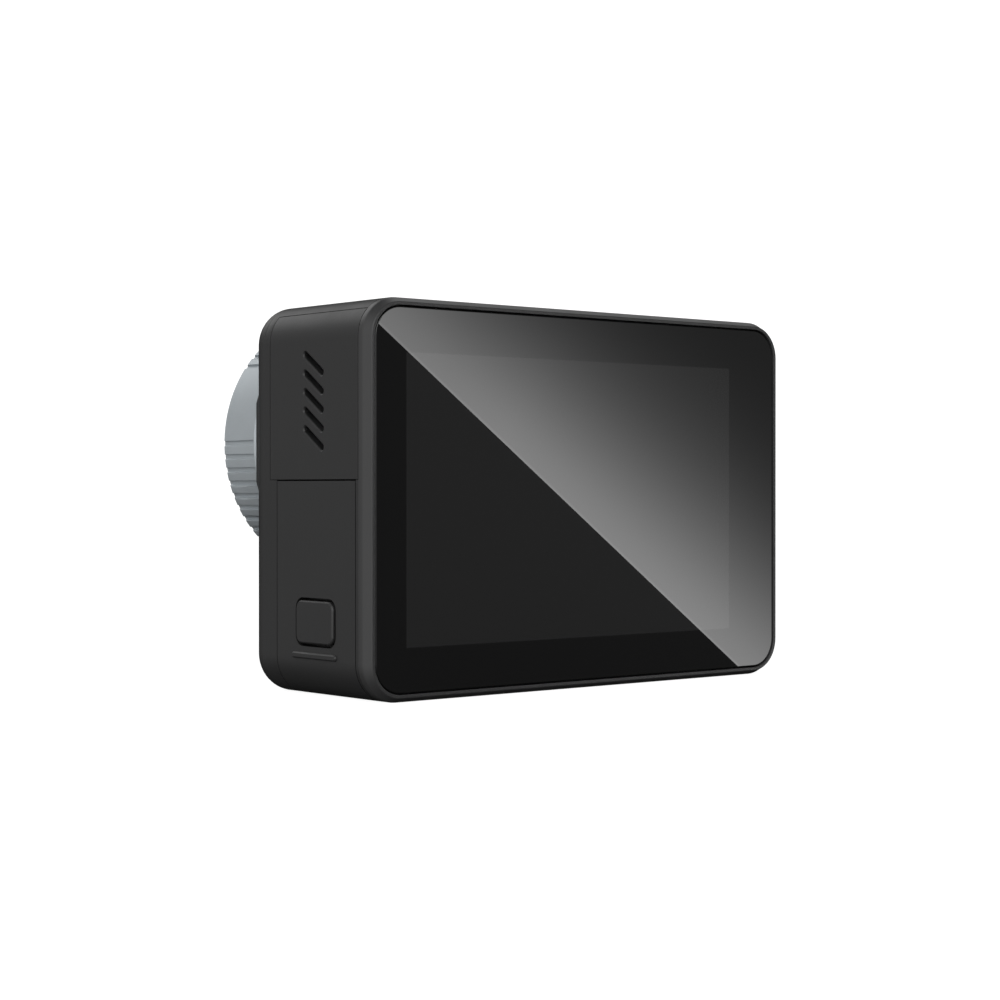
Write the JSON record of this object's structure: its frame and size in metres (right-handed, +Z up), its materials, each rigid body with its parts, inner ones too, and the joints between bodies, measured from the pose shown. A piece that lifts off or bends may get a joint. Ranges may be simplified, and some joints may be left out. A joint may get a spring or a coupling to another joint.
{
  "type": "action camera",
  "caption": "Compact action camera with a rear touch screen, front screen, knurled screw-on lens ring, side speaker, latched battery door and a tripod socket in its base.",
  "frame": {"origin": "centre of the bounding box in X and Y, on the flat base", "axes": "+Z up; +Y out of the touch screen; the lens looks along -Y; the speaker and battery door are on the +X side"},
  "size_m": [0.0602, 0.0292, 0.041],
  "materials": {
    "case_plastic": "fine moulded texture",
    "panel_plastic": "fine moulded texture",
    "bezel_plastic": "satin",
    "screen_glass": "polished, black printed back",
    "ring_metal": "bead blasted, blue-grey anodised",
    "clear_glass": "coated, clear",
    "lens_glass": "multi-coated",
    "black_metal": "black anodised",
    "steel": "plain",
    "chassis_metal": "stamped",
    "brass_insert": "machined",
    "copper_sheet": "thin sheet",
    "seal_rubber": "soft",
    "button_plastic": "satin",
    "inner_plastic": "moulded",
    "board_laminate": "solder mask",
    "chip_epoxy": "moulded epoxy",
    "battery_case": "satin",
    "tab_film": "film",
    "display_stack": "laminated",
    "light_pipe": "frosted"
  },
  "bodies": {
    "camera_body": {"antenna": "copper_sheet", "backlight": "display_stack", "battery_bay": "inner_plastic", "battery_contacts": "brass_insert", "board_screws": "steel", "button_board": "board_laminate", "button_seals": "seal_rubber", "card_socket": "steel", "case_gasket": "seal_rubber", "case_screws": "steel", "chassis_plate": "chassis_metal", "cover_glass": "screen_glass", "door_hinge_pin": "steel", "front_cover": "case_plastic", "front_display": "display_stack", "front_glass": "screen_glass", "front_lens": "lens_glass", "heat_spreader": "copper_sheet", "image_sensor": "chip_epoxy", "inner_lenses": "lens_glass", "ir_filter": "lens_glass", "lcd_panel": "display_stack", "lens_barrel": "black_metal", "lens_collar": "black_metal", "lens_gasket": "seal_rubber", "lens_holder": "inner_plastic", "main_board": "board_laminate", "main_housing": "case_plastic", "memory_chips": "chip_epoxy", "mic_meshes": "steel", "microphones": "chip_epoxy", "processor_chip": "chip_epoxy", "rear_bezel": "bezel_plastic", "screen_adhesive": "tab_film", "sensor_board": "board_laminate", "sensor_flex": "board_laminate", "shield_can": "steel", "side_panel": "panel_plastic", "speaker": "inner_plastic", "speaker_mesh": "steel", "status_light": "light_pipe", "tactile_switches": "inner_plastic", "tripod_insert": "brass_insert", "usb_board": "board_laminate", "usb_port": "steel"},
    "shutter_button": {"shutter_button": "button_plastic"},
    "power_button": {"power_button": "button_plastic"},
    "battery_door": {"battery_door": "panel_plastic", "door_gasket": "seal_rubber", "latch_springs": "steel"},
    "latch_button": {"latch_button": "panel_plastic"},
    "latch_bolt": {"latch_bolt": "steel"},
    "battery": {"battery": "battery_case", "battery_pull_tab": "tab_film"},
    "memory_card": {"memory_card": "chip_epoxy"},
    "ring_thread": {"ring_seal": "seal_rubber"},
    "lens_ring": {"lens_ring": "ring_metal", "ring_glass": "clear_glass"}
  },
  "joints": [
    {"name": "shutter_press", "type": "slide", "parent": "camera_body", "child": "shutter_button", "axis": [0, 0, -1], "range_m": [0, 0.0005], "stiffness_N_per_m": 200, "springref_m": -0.002},
    {"name": "power_press", "type": "slide", "parent": "camera_body", "child": "power_button", "axis": [0, 0, -1], "range_m": [0, 0.0005], "stiffness_N_per_m": 100, "springref_m": -0.002},
    {"name": "door_hinge", "type": "hinge", "parent": "camera_body", "child": "battery_door", "pos_m": [0.02925, 0, 0.02095], "axis": [0, -1, 0], "range_deg": [0, 110]},
    {"name": "latch_press", "type": "slide", "parent": "battery_door", "child": "latch_button", "axis": [-1, 0, 0], "range_m": [0, 0.0008], "stiffness_N_per_m": 60, "springref_m": -0.002},
    {"name": "latch_bolt_lift", "type": "slide", "parent": "battery_door", "child": "latch_bolt", "axis": [0, 0, 1], "range_m": [0, 0.0006], "deforming": ["latch_springs"]},
    {"name": "battery_eject", "type": "slide", "parent": "camera_body", "child": "battery", "axis": [1, 0, 0], "range_m": [0, 0.003]},
    {"name": "card_press", "type": "slide", "parent": "camera_body", "child": "memory_card", "axis": [-1, 0, 0], "range_m": [0, 0.0008], "stiffness_N_per_m": 80, "springref_m": -0.002},
    {"name": "ring_travel", "type": "slide", "parent": "camera_body", "child": "ring_thread", "axis": [0, -1, 0], "range_m": [0, 0.0015]},
    {"name": "ring_turn", "type": "hinge", "parent": "ring_thread", "child": "lens_ring", "pos_m": [0.01402, 0, 0.0266], "axis": [0, -1, 0], "range_deg": [0, 720]}
  ],
  "couplings": [
    {"joint": "latch_bolt_lift", "follows": "latch_press", "ratio": 0.75},
    {"joint": "battery_eject", "follows": "door_hinge", "m_per_rad": 0.0015626},
    {"joint": "ring_travel", "follows": "ring_turn", "m_per_rad": 0.00011937}
  ]
}
